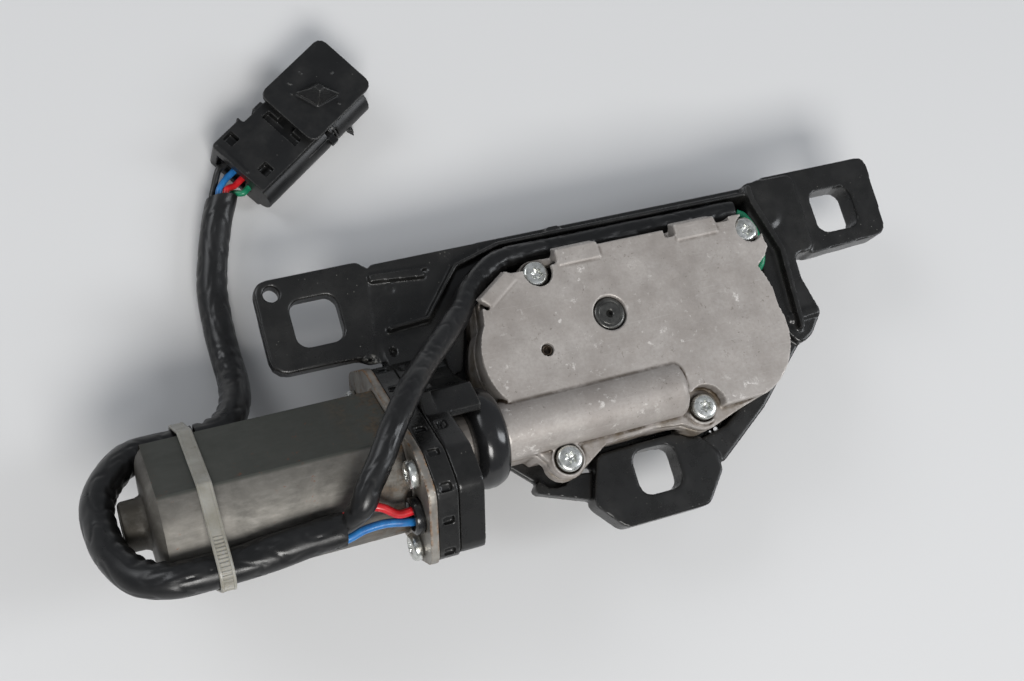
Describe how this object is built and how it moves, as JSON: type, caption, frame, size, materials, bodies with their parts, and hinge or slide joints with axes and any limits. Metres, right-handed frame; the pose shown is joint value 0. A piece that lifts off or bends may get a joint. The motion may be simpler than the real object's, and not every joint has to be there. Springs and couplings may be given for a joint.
{
  "type": "rear wiper drive unit",
  "caption": "Rear window wiper motor with worm gearbox, flat-sided motor can, moulded carrier with three slotted tabs, and a sleeved harness to a clip-on connector.",
  "frame": {"origin": "tip of the output spindle, on its axis; the gearbox cover faces up", "axes": "+X from the motor to the gearbox, +Y towards the carrier's long rail, +Z along the output shaft towards the cover"},
  "size_m": [0.3311, 0.2136, 0.0886],
  "materials": {
    "die_cast": "as-cast, satin, stained and scratched",
    "gasket": "matt",
    "black_plastic": "semi-gloss moulded",
    "connector_plastic": "fine moulded",
    "can_steel": "zinc plated, dulled and stained",
    "flange_steel": "plated, rusty cut edge",
    "zinc": "bright zinc",
    "dark_steel": "oiled",
    "bronze": "sintered",
    "copper": "bright",
    "ferrite": "matt",
    "carbon": "matt",
    "rubber": "glossy",
    "sleeve": "semi-gloss vinyl",
    "nylon": "natural nylon, slightly translucent",
    "acetal": "natural acetal, greased",
    "board": "solder mask",
    "red_wire": "satin",
    "blue_wire": "satin",
    "green_insulation": "satin",
    "black_wire": "satin"
  },
  "bodies": {
    "housing": {"gear_base": "die_cast", "gear_cover": "die_cast", "cover_gasket": "gasket", "cover_screw_1": "zinc", "cover_screw_2": "zinc", "cover_screw_3": "zinc", "cover_screw_4": "zinc", "bracket_screw_1": "zinc", "bracket_screw_2": "zinc", "bracket_screw_3": "zinc", "carrier_bracket": "black_plastic", "motor_can": "can_steel", "motor_flange": "flange_steel", "motor_screw_1": "zinc", "motor_screw_2": "zinc", "motor_screw_3": "zinc", "magnet_front": "ferrite", "magnet_back": "ferrite", "brush_holder": "black_plastic", "brush_1": "carbon", "brush_2": "carbon", "brush_spring_1": "dark_steel", "brush_spring_2": "dark_steel", "rear_bush": "bronze", "neck_bearing": "dark_steel", "front_bush": "bronze", "neck_seal": "rubber", "axle_pin": "zinc", "lower_bush": "bronze", "upper_bush": "bronze", "shaft_seal": "rubber", "control_board": "board", "position_sensor": "black_plastic", "suppression_choke": "copper", "lead_grommet": "rubber", "red_lead": "red_wire", "blue_lead": "blue_wire", "control_sleeve": "sleeve", "green_wire": "green_insulation", "harness_sleeve": "sleeve", "cable_tie": "nylon", "harness_lead": "sleeve", "wire_green": "green_insulation", "wire_red": "red_wire", "wire_blue": "blue_wire", "wire_black": "black_wire", "connector_housing": "connector_plastic", "connector_clip": "connector_plastic"},
    "armature": {"armature_shaft": "dark_steel", "armature_core": "dark_steel", "armature_windings": "copper", "commutator": "copper"},
    "worm_wheel": {"worm_wheel": "acetal"},
    "output": {"output_shaft": "dark_steel", "output_gear": "acetal", "position_magnet": "zinc", "thrust_washer": "bronze", "retaining_clip": "dark_steel"},
    "lock": {"connector_lock": "connector_plastic"}
  },
  "joints": [
    {"name": "armature_spin", "type": "hinge", "parent": "housing", "child": "armature", "pos_m": [0, -0.032, 0.0495], "axis": [1, 0, 0], "range_deg": [0, 18525]},
    {"name": "worm_wheel_spin", "type": "hinge", "parent": "housing", "child": "worm_wheel", "pos_m": [-0.02735, -0.008, 0.0495], "axis": [0, 0, 1], "range_deg": [-488, 0.2]},
    {"name": "output_turn", "type": "hinge", "parent": "housing", "child": "output", "pos_m": [0, 0, 0.04], "axis": [0, 0, 1], "range_deg": [-0.1, 130.1]},
    {"name": "lock_slide", "type": "slide", "parent": "housing", "child": "lock", "axis": [0.829, 0.5592, 0], "range_m": [0, 0.0024]}
  ],
  "couplings": [
    {"joint": "worm_wheel_spin", "follows": "armature_spin", "ratio": -0.026316},
    {"joint": "output_turn", "follows": "armature_spin", "ratio": 0.0070175}
  ]
}
